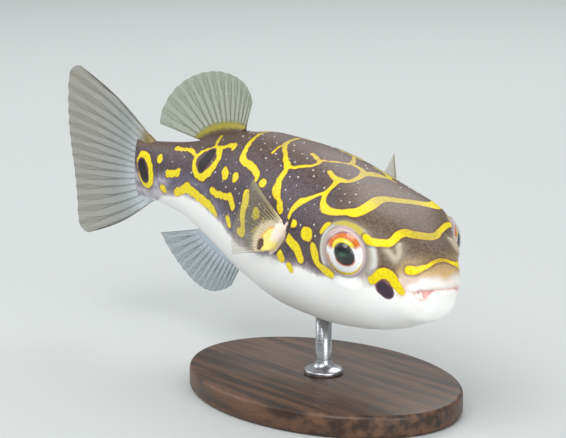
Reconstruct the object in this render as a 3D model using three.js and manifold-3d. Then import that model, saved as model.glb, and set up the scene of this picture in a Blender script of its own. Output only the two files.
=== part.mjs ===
// Figure-eight pufferfish: a still, life-size display model on a small stand.
// Millimetres. +X points the way the fish looks, +Y is its left, +Z is up.
// The origin is the middle of the underside of the stand's base.
import * as THREE from "three";
import { mergeVertices } from "three/addons/utils/BufferGeometryUtils.js";
import Module from "manifold-3d";

const wasm = await Module();
wasm.setup();

const radians = THREE.MathUtils.degToRad;
const lerp = THREE.MathUtils.lerp;
const smoothstep = THREE.MathUtils.smoothstep;

// ---------------------------------------------------------------- driving sizes

const bodyLength = 55;        // snout to the root of the tail fin; most sizes are shares of it
const gap = 0.3;              // clear space between two solids that touch
const ringSegments = 36;      // facets round the body
const snout = new THREE.Vector3(22.6, -3.5, 17.7);

// The body's section along its length. Station 0 is the snout and 1 the tail fin's root.
// Heights and half widths are shares of bodyLength; roundness 2 is an ellipse, more is boxier.
const sections = [
  { at: 0.000, top: 0.015, bottom: 0.034, half: 0.020, roundTop: 2.00, roundBottom: 2.80 },
  { at: 0.008, top: 0.030, bottom: 0.057, half: 0.036, roundTop: 2.10, roundBottom: 3.00 },
  { at: 0.025, top: 0.047, bottom: 0.077, half: 0.052, roundTop: 2.15, roundBottom: 2.95 },
  { at: 0.060, top: 0.070, bottom: 0.093, half: 0.073, roundTop: 2.25, roundBottom: 2.70 },
  { at: 0.130, top: 0.101, bottom: 0.126, half: 0.102, roundTop: 2.60, roundBottom: 2.45 },
  { at: 0.220, top: 0.128, bottom: 0.151, half: 0.126, roundTop: 2.50, roundBottom: 2.30 },
  { at: 0.320, top: 0.146, bottom: 0.169, half: 0.141, roundTop: 2.20, roundBottom: 2.25 },
  { at: 0.450, top: 0.159, bottom: 0.177, half: 0.146, roundTop: 2.05, roundBottom: 2.20 },
  { at: 0.600, top: 0.157, bottom: 0.161, half: 0.124, roundTop: 2.00, roundBottom: 2.10 },
  { at: 0.750, top: 0.120, bottom: 0.112, half: 0.086, roundTop: 2.00, roundBottom: 2.05 },
  { at: 0.880, top: 0.084, bottom: 0.072, half: 0.050, roundTop: 2.00, roundBottom: 2.00 },
  { at: 1.000, top: 0.066, bottom: 0.060, half: 0.024, roundTop: 2.00, roundBottom: 2.00 },
];

// The swimming bend: the head is turned to the right and the tail swings the other way.
const headTurn = { yaw: -9.5, pitch: -4.2, roll: -1.3 };
const tailTurn = { yaw: 10.0, pitch: -3.8, roll: 3.5 };
const bendStart = 0.25;

const eye = {
  at: 0.161,                  // station
  side: 0.1210,               // from the middle plane to the rim of the socket
  up: 0.0287,                  // above the spine line
  radius: 3.05,
  rimRadius: 2.45,            // the part of the ball that shows
  look: { left: 0.88, forward: 0.43, up: -0.08 },
  orbitHeight: 1.2,           // how far the flesh swells round the eye
  orbitReach: 2.6,
  orbitDepth: 1.0,            // the swelling's middle lies behind the rim
  orbitRaise: 1.0,            // and a little above it
};

// ---------------------------------------------------------------- the body's surface

// Monotone cubic through one column of the section table, so nothing overshoots.
function sectionValue(station, column) {
  const last = sections.length - 2;
  let i = 0;
  while (i < last && station > sections[i + 1].at) {
    i += 1;
  }
  const slope = (k) => (sections[k + 1][column] - sections[k][column])
    / (sections[k + 1].at - sections[k].at);
  const tangent = (k) => {
    if (k === 0) {
      return slope(0);
    }
    if (k === sections.length - 1) {
      return slope(k - 1);
    }
    const before = slope(k - 1);
    const after = slope(k);
    return before * after > 0 ? 2 * before * after / (before + after) : 0;
  };
  const width = sections[i + 1].at - sections[i].at;
  const t = THREE.MathUtils.clamp((station - sections[i].at) / width, 0, 1);
  return (2 * t ** 3 - 3 * t ** 2 + 1) * sections[i][column]
    + (t ** 3 - 2 * t ** 2 + t) * width * tangent(i)
    + (3 * t ** 2 - 2 * t ** 3) * sections[i + 1][column]
    + (t ** 3 - t ** 2) * width * tangent(i + 1);
}

// Forward, left and up at a station, after the bend.
function bodyAxes(station) {
  const bend = smoothstep(station, bendStart, 1);
  const yaw = radians(lerp(headTurn.yaw, tailTurn.yaw, bend));
  const pitch = radians(lerp(headTurn.pitch, tailTurn.pitch, bend));
  const roll = radians(lerp(headTurn.roll, tailTurn.roll, bend));
  const forward = new THREE.Vector3(
    Math.cos(pitch) * Math.cos(yaw), Math.cos(pitch) * Math.sin(yaw), Math.sin(pitch));
  const left = new THREE.Vector3(-Math.sin(yaw), Math.cos(yaw), 0);
  left.applyAxisAngle(forward, roll);
  const up = new THREE.Vector3().crossVectors(forward, left);
  return { forward, left, up };
}

// The spine line is walked back from the snout in small steps.
const spineSteps = 300;
const spineEnd = 1.1;
const spine = [snout.clone()];
for (let i = 1; i <= spineSteps; i += 1) {
  const middle = (i - 0.5) / spineSteps * spineEnd;
  const step = bodyAxes(middle).forward.multiplyScalar(-bodyLength * spineEnd / spineSteps);
  spine.push(spine[i - 1].clone().add(step));
}

function spinePoint(station) {
  if (station <= 0) {
    return snout.clone().addScaledVector(bodyAxes(0).forward, -station * bodyLength);
  }
  const place = station / spineEnd * spineSteps;
  const i = Math.min(Math.floor(place), spineSteps - 1);
  return spine[i].clone().lerp(spine[i + 1], place - i);
}

// A point given by offsets, in shares of bodyLength, from the spine line.
function offsetPoint(station, forward, left, up) {
  const axes = bodyAxes(station);
  return spinePoint(station)
    .addScaledVector(axes.forward, forward * bodyLength)
    .addScaledVector(axes.left, left * bodyLength)
    .addScaledVector(axes.up, up * bodyLength);
}

// side is 1 for the fish's left and -1 for its right.
function eyePlace(side) {
  const axes = bodyAxes(eye.at);
  const look = new THREE.Vector3()
    .addScaledVector(axes.left, eye.look.left * side)
    .addScaledVector(axes.forward, eye.look.forward)
    .addScaledVector(axes.up, eye.look.up)
    .normalize();
  const rim = offsetPoint(eye.at, 0, eye.side * side, eye.up);
  const depth = Math.sqrt(eye.radius ** 2 - eye.rimRadius ** 2);
  return { rim, look, centre: rim.clone().addScaledVector(look, -depth) };
}

const eyes = { right: eyePlace(-1), left: eyePlace(1) };

const orbits = [eyes.right, eyes.left].map(({ rim, look }) =>
  rim.clone().addScaledVector(look, -eye.orbitDepth).add(new THREE.Vector3(0, 0, eye.orbitRaise)));

// angle 0 is the fish's right side, 90 its back, 180 its left and 270 its belly.
function skinPoint(station, angle, grow = 0) {
  const turn = radians(angle);
  const above = Math.sin(turn) >= 0;
  const power = 2 / sectionValue(station, above ? "roundTop" : "roundBottom");
  const height = sectionValue(station, above ? "top" : "bottom");
  const left = -sectionValue(station, "half") * Math.sign(Math.cos(turn))
    * Math.abs(Math.cos(turn)) ** power;
  const up = height * Math.sign(Math.sin(turn)) * Math.abs(Math.sin(turn)) ** power;
  const point = offsetPoint(station, 0, left, up);
  const swell = orbits.reduce((sum, centre) =>
    sum + eye.orbitHeight * Math.exp(-point.distanceToSquared(centre) / (2 * eye.orbitReach ** 2)), 0);
  const outward = point.clone().sub(spinePoint(station)).normalize();
  return point.addScaledVector(outward, swell + grow);
}

// ---------------------------------------------------------------- meshes and solids

function geometryFrom(points, triangles) {
  const geometry = new THREE.BufferGeometry();
  const coordinates = points.flatMap((p) => p.toArray());
  geometry.setAttribute("position", new THREE.Float32BufferAttribute(coordinates, 3));
  geometry.setIndex(triangles.flat());
  return geometry;
}

// Rings of equally many points become one closed skin with a flat cap at each end.
function skinOver(rings) {
  const count = rings[0].length;
  const points = rings.flat();
  const triangles = [];
  for (let r = 0; r + 1 < rings.length; r += 1) {
    for (let k = 0; k < count; k += 1) {
      const a = r * count + k;
      const b = r * count + (k + 1) % count;
      triangles.push([a, b, b + count], [a, b + count, a + count]);
    }
  }
  const middleOf = (ring) => ring.reduce((sum, p) => sum.add(p), new THREE.Vector3())
    .divideScalar(ring.length);
  const first = points.push(middleOf(rings[0])) - 1;
  const last = points.push(middleOf(rings.at(-1))) - 1;
  const start = (rings.length - 1) * count;
  for (let k = 0; k < count; k += 1) {
    const next = (k + 1) % count;
    triangles.push([first, next, k], [last, start + k, start + next]);
  }
  return geometryFrom(points, triangles);
}

function toSolid(geometry) {
  const bare = geometry.clone();
  bare.deleteAttribute("normal");
  bare.deleteAttribute("uv");
  const merged = mergeVertices(bare, 1e-4);
  const mesh = new wasm.Mesh({
    numProp: 3,
    vertProperties: new Float32Array(merged.attributes.position.array),
    triVerts: new Uint32Array(merged.index.array),
  });
  return new wasm.Manifold(mesh);
}

function toGeometry(solid) {
  const { vertProperties, triVerts } = solid.getMesh();
  const geometry = new THREE.BufferGeometry();
  geometry.setAttribute("position", new THREE.BufferAttribute(vertProperties, 3));
  geometry.setIndex(new THREE.BufferAttribute(triVerts, 1));
  geometry.computeVertexNormals();
  return geometry;
}

const model = new THREE.Group();

function addPart(name, solid, look) {
  const mesh = new THREE.Mesh(toGeometry(solid), new THREE.MeshStandardMaterial(look));
  mesh.name = name;
  model.add(mesh);
}

const looks = {
  back: { color: 0x6a5c5c, roughness: 0.45 },
  iris: { color: 0x221e22, roughness: 0.10 },
  tooth: { color: 0xf4efe2, roughness: 0.35 },
  fin: { color: 0xb3a98e, roughness: 0.50 },
  base: { color: 0x2b2a2c, roughness: 0.55 },
  rod: { color: 0xb9bcc0, roughness: 0.30, metalness: 1 },
};

// ---------------------------------------------------------------- head, trunk and tail

// Stations crowd together towards the blunt snout, where the shape turns fastest.
const snoutCrowding = 1.8;

function bodyRings(from, to, count, grow = 0) {
  const rings = [];
  for (let i = 0; i <= count; i += 1) {
    const share = i / count;
    const station = from === 0 ? to * share ** snoutCrowding : lerp(from, to, share);
    const ring = [];
    for (let k = 0; k < ringSegments; k += 1) {
      ring.push(skinPoint(station, 360 * k / ringSegments, grow));
    }
    rings.push(ring);
  }
  return rings;
}

const headEnd = 0.330;
const trunkEnd = 0.640;
const halfGap = gap / 2 / bodyLength;
const ringCounts = { whole: 46, head: 20, trunk: 10, tail: 14 };

const wholeBodyGrown = toSolid(skinOver([
  ...bodyRings(0, 1, ringCounts.whole, gap),
  bodyRings(1, 1 + gap / bodyLength, 1, gap)[1],
]));

// A low lens-shaped opening runs across the front of the snout.
const mouth = { up: -0.018, halfWidth: 3.6, halfHeight: 0.90, halfDepth: 3.4 };

// An ellipsoid of the mouth's shape, smaller all round by `inset`.
function mouthLens(inset) {
  const axes = bodyAxes(0);
  const lens = new THREE.SphereGeometry(1, 16, 8)
    .scale(mouth.halfWidth - inset, mouth.halfHeight - inset, mouth.halfDepth - inset);
  const place = new THREE.Matrix4().makeBasis(axes.left, axes.up, axes.forward);
  place.setPosition(offsetPoint(0, 0, 0, mouth.up));
  return toSolid(lens.applyMatrix4(place));
}

const eyeBalls = Object.fromEntries(Object.entries(eyes).map(([side, { centre }]) => {
  const ball = new THREE.SphereGeometry(eye.radius, 22, 14).translate(...centre.toArray());
  const socket = new THREE.SphereGeometry(eye.radius + gap, 18, 12).translate(...centre.toArray());
  return [side, { ball: toSolid(ball), socket: toSolid(socket) }];
}));

// A short, soft lobe stands in front of each eye and carries the nostrils.
const nostril = { at: 0.072, angle: 33, radius: 0.8, height: 0.6 };

function nostrilLobe(side) {
  const angle = side < 0 ? nostril.angle : 180 - nostril.angle;
  const foot = skinPoint(nostril.at, angle);
  const outward = foot.clone().sub(spinePoint(nostril.at)).normalize();
  const lobe = new THREE.SphereGeometry(nostril.radius, 10, 6).scale(1, 1, nostril.height / nostril.radius);
  lobe.applyQuaternion(new THREE.Quaternion().setFromUnitVectors(new THREE.Vector3(0, 0, 1), outward));
  return toSolid(lobe.translate(...foot.toArray()));
}

const head = toSolid(skinOver(bodyRings(0, headEnd - halfGap, ringCounts.head)))
  .add(nostrilLobe(-1))
  .add(nostrilLobe(1))
  .subtract(eyeBalls.right.socket)
  .subtract(eyeBalls.left.socket)
  .subtract(mouthLens(0));
const trunkRings = bodyRings(headEnd + halfGap, trunkEnd - halfGap, ringCounts.trunk);
const tailRings = bodyRings(trunkEnd + halfGap, 1, ringCounts.tail);
addPart("head", head, looks.back);
addPart("trunk", toSolid(skinOver(trunkRings)), looks.back);
addPart("tail", toSolid(skinOver(tailRings)), looks.back);
addPart("eye_right", eyeBalls.right.ball, looks.iris);
addPart("eye_left", eyeBalls.left.ball, looks.iris);

// ---------------------------------------------------------------- tooth plates

// Each jaw's teeth are fused into one plate. Together they fill the mouth, behind the lips.
const lipDepth = 0.35;
const bite = { width: 2 * mouth.halfWidth, height: 2 * mouth.halfHeight, depth: 2 * mouth.halfDepth };
const behindLips = toSolid(skinOver(bodyRings(0, headEnd, ringCounts.head, -lipDepth)));

function jawSpace(direction) {
  const axes = bodyAxes(0);
  const box = new THREE.BoxGeometry(bite.width, bite.height, bite.depth);
  box.translate(0, direction * (bite.height + gap) / 2, 0);
  const place = new THREE.Matrix4().makeBasis(axes.left, axes.up, axes.forward);
  return toSolid(box.applyMatrix4(place.setPosition(offsetPoint(0, 0, 0, mouth.up))));
}

for (const [name, direction] of [["teeth_upper", 1], ["teeth_lower", -1]]) {
  addPart(name, mouthLens(gap).intersect(behindLips).intersect(jawSpace(direction)), looks.tooth);
}

// ---------------------------------------------------------------- fins

// A fin is a fan of rays. t runs from its first ray to its last and r from root to tip.
// Roots, lengths and bow are shares of bodyLength, in a plane of rearward and upward axes.
const fins = {
  caudal_fin: {
    station: 1.0,
    rootAt: (t) => [-0.03 * (2 * t - 1) ** 2, lerp(0.075, -0.066, t)],
    angle: (t) => lerp(30, -29.5, t),
    reach: (t) => lerp(0.231, 0.219, t) - 0.036 * Math.abs(2 * t - 1) ** 14,
    length(t) {
      return (this.reach(t) - this.rootAt(t)[0]) / Math.cos(radians(this.angle(t)));
    },
    bow: (t) => 0.011 * (1 - 2 * t),
    rays: 16,
  },
  dorsal_fin: {
    station: 0.73,
    rootAt: (t) => [lerp(-0.037, 0.085, t), lerp(0.140, 0.096, t)],
    angle: (t) => 103 - 98 * t ** 1.75,
    length: (t) => 0.148 - 0.082 * (1 - t) ** 4 + 0.012 * (t ** 6 - t ** 20),
    bow: () => 0,
    rays: 14,
  },
  anal_fin: {
    station: 0.73,
    rootAt: (t) => [lerp(-0.033, 0.090, t), lerp(-0.148, -0.100, t)],
    angle: (t) => -66 + 50 * t ** 1.9,
    length: (t) => 0.149 - 0.088 * (1 - t) ** 2.6,
    bow: () => 0,
    rays: 13,
  },
};

const finThickness = { root: 1.3, web: 0.6, fleshy: 0.22, rootDepth: 0.14 };
const finSteps = [-1, 0, 0.12, 0.24, 0.50, 0.75, 1];   // -1 is inside the body

function finPoint(fin, plane, t, r) {
  const [rootRear, rootUp] = fin.rootAt(t);
  const turn = radians(fin.angle(t));
  const along = fin.length(t) * (r < 0 ? -finThickness.rootDepth : r);
  const side = r < 0 ? 0 : fin.bow(t) * Math.sin(Math.PI * r);
  const rear = rootRear + Math.cos(turn) * along - Math.sin(turn) * side;
  const up = rootUp + Math.sin(turn) * along + Math.cos(turn) * side;
  return plane.origin.clone()
    .addScaledVector(plane.rear, rear * bodyLength)
    .addScaledVector(plane.up, up * bodyLength);
}

function finSolid(fin, plane) {
  const columns = fin.rays;
  const normal = new THREE.Vector3().crossVectors(plane.rear, plane.up).normalize();
  const rings = finSteps.map((r) => {
    const thick = lerp(finThickness.root, finThickness.web, smoothstep(r, 0, finThickness.fleshy));
    const face = (sign) => Array.from({ length: columns + 1 }, (_, k) =>
      finPoint(fin, plane, k / columns, r).addScaledVector(normal, sign * thick / 2));
    return [...face(1), ...face(-1).reverse()];
  });
  const solid = toSolid(skinOver(rings));
  return solid.volume() > 0 ? solid : toSolid(skinOver(rings.map((ring) => [...ring].reverse())));
}

function middlePlane(station) {
  const axes = bodyAxes(station);
  return { origin: spinePoint(station), rear: axes.forward.clone().negate(), up: axes.up };
}

for (const [name, fin] of Object.entries(fins)) {
  addPart(name, finSolid(fin, middlePlane(fin.station)).subtract(wholeBodyGrown), looks.fin);
}

// The paired fins are folded back and up; the left one is raised more than the right.
const pectoral = {
  station: 0.370,
  angle: 6,                   // round the body, up from the side
  spread: 14,                 // degrees off the flank
  lean: 3,                    // degrees the fin's plane leans in at the top
  top: 35,
  bottom: -18,
  lift: { right: 0, left: 30 },
};

for (const side of ["right", "left"]) {
  const sign = side === "left" ? 1 : -1;
  const axes = bodyAxes(pectoral.station);
  const outward = axes.left.clone().multiplyScalar(sign);
  const rear = axes.forward.clone().negate().multiplyScalar(Math.cos(radians(pectoral.spread)))
    .addScaledVector(outward, Math.sin(radians(pectoral.spread)));
  const up = axes.up.clone().multiplyScalar(Math.cos(radians(pectoral.lean)))
    .addScaledVector(outward, -Math.sin(radians(pectoral.lean)));
  const foot = skinPoint(pectoral.station, sign < 0 ? pectoral.angle : 180 - pectoral.angle);
  const fin = {
    rootAt: (t) => [lerp(-0.012, 0.019, t), lerp(0.021, -0.043, t)],
    angle: (t) => pectoral.lift[side] + lerp(pectoral.top, pectoral.bottom, t),
    length: (t) => 0.117 - 0.016 * t ** 2,
    bow: () => 0,
    rays: 13,
  };
  const solid = finSolid(fin, { origin: foot, rear, up }).subtract(wholeBodyGrown);
  addPart(`pectoral_fin_${side}`, solid, looks.fin);
}

// ---------------------------------------------------------------- stand

const base = { length: 36, width: 26, height: 2.6, bevel: 0.4 };
const rod = { radius: 0.9, station: 0.42, footRadius: 2.2, footHeight: 1.2 };

const plateOutline = new THREE.Shape();
plateOutline.absellipse(0, 0, base.length / 2 - base.bevel, base.width / 2 - base.bevel, 0, 2 * Math.PI);
const basePlate = new THREE.ExtrudeGeometry(plateOutline, {
  depth: base.height - 2 * base.bevel,
  bevelThickness: base.bevel,
  bevelSize: base.bevel,
  bevelSegments: 2,
  curveSegments: 24,
}).translate(0, 0, base.bevel);
addPart("stand_base", toSolid(basePlate), looks.base);

// A turned rod, wider where it stands on the base, reaches up to the belly.
const rodPlace = spinePoint(rod.station);
const rodFoot = base.height + gap;
const rodProfile = [
  [0, rodFoot],
  [rod.footRadius, rodFoot],
  [rod.footRadius, rodFoot + rod.footHeight / 2],
  [rod.radius, rodFoot + rod.footHeight],
  [rod.radius, rodPlace.z],
  [0, rodPlace.z],
].map(([radius, height]) => new THREE.Vector2(radius, height));
const rodGeometry = new THREE.LatheGeometry(rodProfile, 24)
  .rotateX(Math.PI / 2)
  .translate(rodPlace.x, rodPlace.y, 0);
addPart("stand_rod", toSolid(rodGeometry).subtract(wholeBodyGrown), looks.rod);

export default model;
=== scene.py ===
import math
import bpy
import numpy as np
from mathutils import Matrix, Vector


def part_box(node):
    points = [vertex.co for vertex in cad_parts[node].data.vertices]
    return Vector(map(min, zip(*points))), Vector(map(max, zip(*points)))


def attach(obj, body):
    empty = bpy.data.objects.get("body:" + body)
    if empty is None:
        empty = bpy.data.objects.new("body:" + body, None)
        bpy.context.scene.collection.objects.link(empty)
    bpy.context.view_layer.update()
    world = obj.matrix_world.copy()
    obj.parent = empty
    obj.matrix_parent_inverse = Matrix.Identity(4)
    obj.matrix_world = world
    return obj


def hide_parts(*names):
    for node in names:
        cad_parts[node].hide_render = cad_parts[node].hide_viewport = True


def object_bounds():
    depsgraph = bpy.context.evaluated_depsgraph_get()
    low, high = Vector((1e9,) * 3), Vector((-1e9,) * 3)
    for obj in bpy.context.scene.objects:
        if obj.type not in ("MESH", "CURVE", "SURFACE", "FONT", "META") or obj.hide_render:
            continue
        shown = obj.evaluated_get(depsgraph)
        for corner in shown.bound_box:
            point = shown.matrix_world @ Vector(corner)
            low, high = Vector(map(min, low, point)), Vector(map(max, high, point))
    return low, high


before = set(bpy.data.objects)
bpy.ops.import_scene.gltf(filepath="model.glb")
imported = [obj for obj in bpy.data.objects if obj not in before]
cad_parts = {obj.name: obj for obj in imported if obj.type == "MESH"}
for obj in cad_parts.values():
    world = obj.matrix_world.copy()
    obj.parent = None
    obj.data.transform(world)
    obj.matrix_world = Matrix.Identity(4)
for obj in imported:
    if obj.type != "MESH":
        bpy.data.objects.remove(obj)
cad_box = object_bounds()
mm = 0.001
scene = bpy.context.scene


# ------------------------------------------------------------------ camera
# A small fish looked at from in front and to its right, a little from above.
look_at = (cad_box[0] + cad_box[1]) / 2 + Vector((11.45, -6.5, 3.9)) * mm


def aim(name, data, azimuth, elevation, distance):
    """Puts a camera or a lamp at some degrees round and above the fish, facing it."""
    azimuth = math.radians(azimuth)
    elevation = math.radians(elevation)
    direction = Vector((
        math.sin(azimuth) * math.cos(elevation),
        -math.cos(azimuth) * math.cos(elevation),
        math.sin(elevation),
    ))
    item = bpy.data.objects.new(name, data)
    item.location = look_at + direction * distance
    item.rotation_euler = direction.to_track_quat("Z", "Y").to_euler()
    scene.collection.objects.link(item)
    return item


camera = aim("camera", bpy.data.cameras.new("camera"), 50, 12, 220 * mm)
camera.data.sensor_width = 36
camera.data.lens = 129.1
camera.data.clip_start = 0.01
scene.camera = camera
scene.view_settings.view_transform = "Standard"


# ------------------------------------------------------------------ floor and light
# A round pale table top whose edge curves up all round into a plain wall. Soft lamps stand
# on every side, the strongest above and in front of the fish.
def new_mesh(name, points, faces):
    mesh = bpy.data.meshes.new(name)
    mesh.from_pydata(np.asarray(points).tolist(), [], [list(map(int, face)) for face in faces])
    mesh.polygons.foreach_set("use_smooth", [True] * len(mesh.polygons))
    mesh.update()
    return mesh


def new_piece(name, mesh, material=None):
    if material:
        mesh.materials.append(material)
    piece = bpy.data.objects.new(name, mesh)
    scene.collection.objects.link(piece)
    return piece


def quads_round(rows, columns):
    """Faces of a tube of rows of points, each row a closed ring."""
    row, column = np.meshgrid(np.arange(rows - 1), np.arange(columns), indexing="ij")
    here = row * columns + column
    beside = row * columns + (column + 1) % columns
    return np.stack([here, beside, beside + columns, here + columns], -1).reshape(-1, 4)


def turns(count):
    """Evenly spaced angles once round."""
    return np.linspace(0, 2 * math.pi, count, endpoint=False)


class Wiring:
    """Wires a node tree. An input is a value or another node's output, and a colour of three
    numbers is written as it is seen, 0 to 255."""

    def __init__(self, tree):
        self.tree = tree

    def put(self, socket, value):
        if isinstance(value, bpy.types.NodeSocket):
            self.tree.links.new(value, socket)
        elif socket.type == "RGBA" and len(value) == 3:
            socket.default_value = (*colour(*value), 1)
        else:
            socket.default_value = value

    def node(self, kind, sockets={}, **settings):
        """Adds a node with these inputs and settings, and hands out its outputs."""
        node = self.tree.nodes.new(kind)
        for name, value in settings.items():
            setattr(node, name, value)
        for name, value in sockets.items():
            self.put(node.inputs[name], value)
        return node.outputs


class Paint(Wiring):
    """A new material."""

    def __init__(self, name):
        self.material = bpy.data.materials.new(name)
        self.material.use_nodes = True
        super().__init__(self.material.node_tree)

    def field(self, name):
        return self.node("ShaderNodeAttribute", attribute_name=name)["Fac"]

    def math(self, operation, first, second):
        return self.node("ShaderNodeMath", {0: first, 1: second}, operation=operation)[0]

    def plus(self, first, second):
        return self.math("ADD", first, second)

    def times(self, first, second):
        return self.math("MULTIPLY", first, second)

    def noise(self, size, detail=2.0, roughness=0.5):
        """Noise from 0 to 1 with lumps of about `size` mm; three sizes stretch it."""
        sizes = size if isinstance(size, tuple) else (size, size, size)
        place = self.node("ShaderNodeTexCoord")["Object"]
        scale = tuple(1 / (part * mm) for part in sizes)
        scaled = self.node("ShaderNodeMapping", {"Vector": place, "Scale": scale})[0]
        return self.node("ShaderNodeTexNoise", {
            "Vector": scaled, "Scale": 1.0, "Detail": detail, "Roughness": roughness})["Fac"]

    def ramp(self, value, start, end, low=0.0, high=1.0):
        sockets = dict(enumerate((value, start, end, low, high)))
        return self.node("ShaderNodeMapRange", sockets, interpolation_type="SMOOTHSTEP")[0]

    def mix(self, share, under, over):
        return self.node("ShaderNodeMix", {0: share, 6: under, 7: over}, data_type="RGBA")[2]

    def mottle(self, value, under, over, start=0.3, end=0.7):
        """Two colours in patches, told apart by a noise."""
        return self.mix(self.ramp(value, start, end), under, over)

    def layers(self, under, *coats):
        """Coats of (colour, share of cover, ...) over a ground; the shares are multiplied."""
        for over, share, *others in coats:
            for other in others:
                share = self.times(share, other)
            under = self.mix(share, under, over)
        return under

    def bump(self, height, depth):
        return self.node("ShaderNodeBump", {"Distance": depth * mm, "Height": height})[0]

    def finish(self, **inputs):
        """Sets or wires the shader's inputs and hands out the material."""
        sockets = self.tree.nodes["Principled BSDF"].inputs
        for name, value in inputs.items():
            self.put(sockets[name.replace("_", " ")], value)
        return self.material


def colour(red, green, blue):
    """A colour as it is seen, 0 to 255, made ready for a shader."""
    return tuple(
        value / 255 / 12.92 if value <= 10 else ((value / 255 + 0.055) / 1.055) ** 2.4
        for value in (red, green, blue)
    )


floor_flat = 0.9
floor_bend = 0.7
floor_columns = 96
floor_steps = 12
floor_profile = [(0.001, 0.0), (floor_flat, 0.0)]
for step in range(1, floor_steps + 1):
    turn = math.pi / 2 * step / floor_steps
    floor_profile.append((floor_flat + floor_bend * math.sin(turn), floor_bend * (1 - math.cos(turn))))
around = turns(floor_columns)
floor_points = np.concatenate([
    np.stack([radius * np.cos(around), radius * np.sin(around), 0 * around + height], -1)
    for radius, height in floor_profile
])
floor_faces = quads_round(len(floor_profile), floor_columns).tolist()
floor_faces.append(list(range(floor_columns)))
floor_paint = Paint("floor_paint").finish(Base_Color=(0.55, 0.57, 0.56, 1), Roughness=0.8)
floor = new_piece("floor", new_mesh("floor", floor_points, floor_faces), floor_paint)

lamps = [
    # name, place round and above the fish in degrees, distance, width, watts
    ("lamp_key", 25, 48, 0.45, 0.30, 1.18),
    ("lamp_fill", 80, 12, 0.50, 0.35, 1.10),
    ("lamp_back", 215, 45, 0.50, 0.35, 0.9),
    ("lamp_left", 300, 30, 0.50, 0.35, 0.6),
]
for name, *place, width, watts in lamps:
    light = bpy.data.lights.new(name, "AREA")
    light.shape = "DISK"
    light.size = width
    light.energy = watts
    aim(name, light, *place)

world = bpy.data.worlds.new("room")
world.use_nodes = True
sky = world.node_tree.nodes["Background"].inputs
sky["Color"].default_value = (0.93, 0.97, 1.0, 1)
sky["Strength"].default_value = 0.60
scene.world = world


# ------------------------------------------------------------------ skin
# A puffer's skin is smooth, tough and scaleless: a dark back with yellow lines and eye spots
# over a white belly. It is one piece from the lips to the root of the tail fin, drawn over
# the flesh, and stands up in a soft rim round each eye.
body_length = 55 * mm
snout = np.array((22.6, -3.5, 17.7)) * mm
sections = np.array([
    # station, then top, bottom and half width, in thousandths of the length, then the
    # roundness of the back and of the belly: 2 is an ellipse, more is boxier
    (0, 15, 34, 20, 2.00, 2.80),
    (8, 30, 57, 36, 2.10, 3.00),
    (25, 47, 77, 52, 2.15, 2.95),
    (60, 70, 93, 73, 2.25, 2.70),
    (130, 101, 126, 102, 2.60, 2.45),
    (220, 128, 151, 126, 2.50, 2.30),
    (320, 146, 169, 141, 2.20, 2.25),
    (450, 159, 177, 146, 2.05, 2.20),
    (600, 157, 161, 124, 2.00, 2.10),
    (750, 120, 112, 86, 2.00, 2.05),
    (880, 84, 72, 50, 2.00, 2.00),
    (1000, 66, 60, 24, 2.00, 2.00),
]) / (1000, 1000, 1000, 1000, 1, 1)
head_turn = (-9.5, -4.2, -1.3)      # yaw, pitch and roll of the head, in degrees
tail_turn = (10.0, -3.8, 3.5)       # and of the tail, in the swimming bend
bend_start = 0.25


def smooth(value, start, end):
    t = np.clip((np.asarray(value, float) - start) / (end - start), 0, 1)
    return t * t * (3 - 2 * t)


def lerp(start, end, t):
    return start + (end - start) * t


def bell(value, middle, width):
    return np.exp(-((value - middle) / width) ** 2)


def unit(vector):
    return vector / np.linalg.norm(vector, axis=-1, keepdims=True)


def section(station, column):
    """One column of the section table, read with a monotone cubic."""
    at = sections[:, 0]
    value = sections[:, column]
    slope = np.diff(value) / np.diff(at)
    before = slope[:-1]
    after = slope[1:]
    rising = before * after > 0
    tangent = np.zeros(len(at))
    tangent[0] = slope[0]
    tangent[-1] = slope[-1]
    tangent[1:-1][rising] = 2 * before[rising] * after[rising] / (before + after)[rising]
    i = np.clip(np.searchsorted(at, station) - 1, 0, len(at) - 2)
    width = at[i + 1] - at[i]
    t = np.clip((station - at[i]) / width, 0, 1)
    return ((2 * t ** 3 - 3 * t ** 2 + 1) * value[i]
            + (t ** 3 - 2 * t ** 2 + t) * width * tangent[i]
            + (3 * t ** 2 - 2 * t ** 3) * value[i + 1]
            + (t ** 3 - t ** 2) * width * tangent[i + 1])


def body_axes(station):
    """Forward, left and up at a station, after the bend."""
    bend = smooth(station, bend_start, 1)
    yaw, pitch, roll = [
        np.radians(head + (tail - head) * bend) for head, tail in zip(head_turn, tail_turn)
    ]
    forward = np.stack([np.cos(pitch) * np.cos(yaw), np.cos(pitch) * np.sin(yaw), np.sin(pitch)], -1)
    level = np.stack([-np.sin(yaw), np.cos(yaw), 0 * yaw], -1)
    left = level * np.cos(roll)[..., None] + np.cross(forward, level) * np.sin(roll)[..., None]
    return forward, left, np.cross(forward, left)


spine_end = 1.1
spine_at = np.linspace(0, spine_end, 301)
spine_steps = -body_axes((spine_at[1:] + spine_at[:-1]) / 2)[0] * body_length * spine_at[1]
spine = snout + np.concatenate([np.zeros((1, 3)), np.cumsum(spine_steps, 0)])


def spine_point(station):
    return np.stack([np.interp(station, spine_at, spine[:, k]) for k in range(3)], -1)


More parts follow.
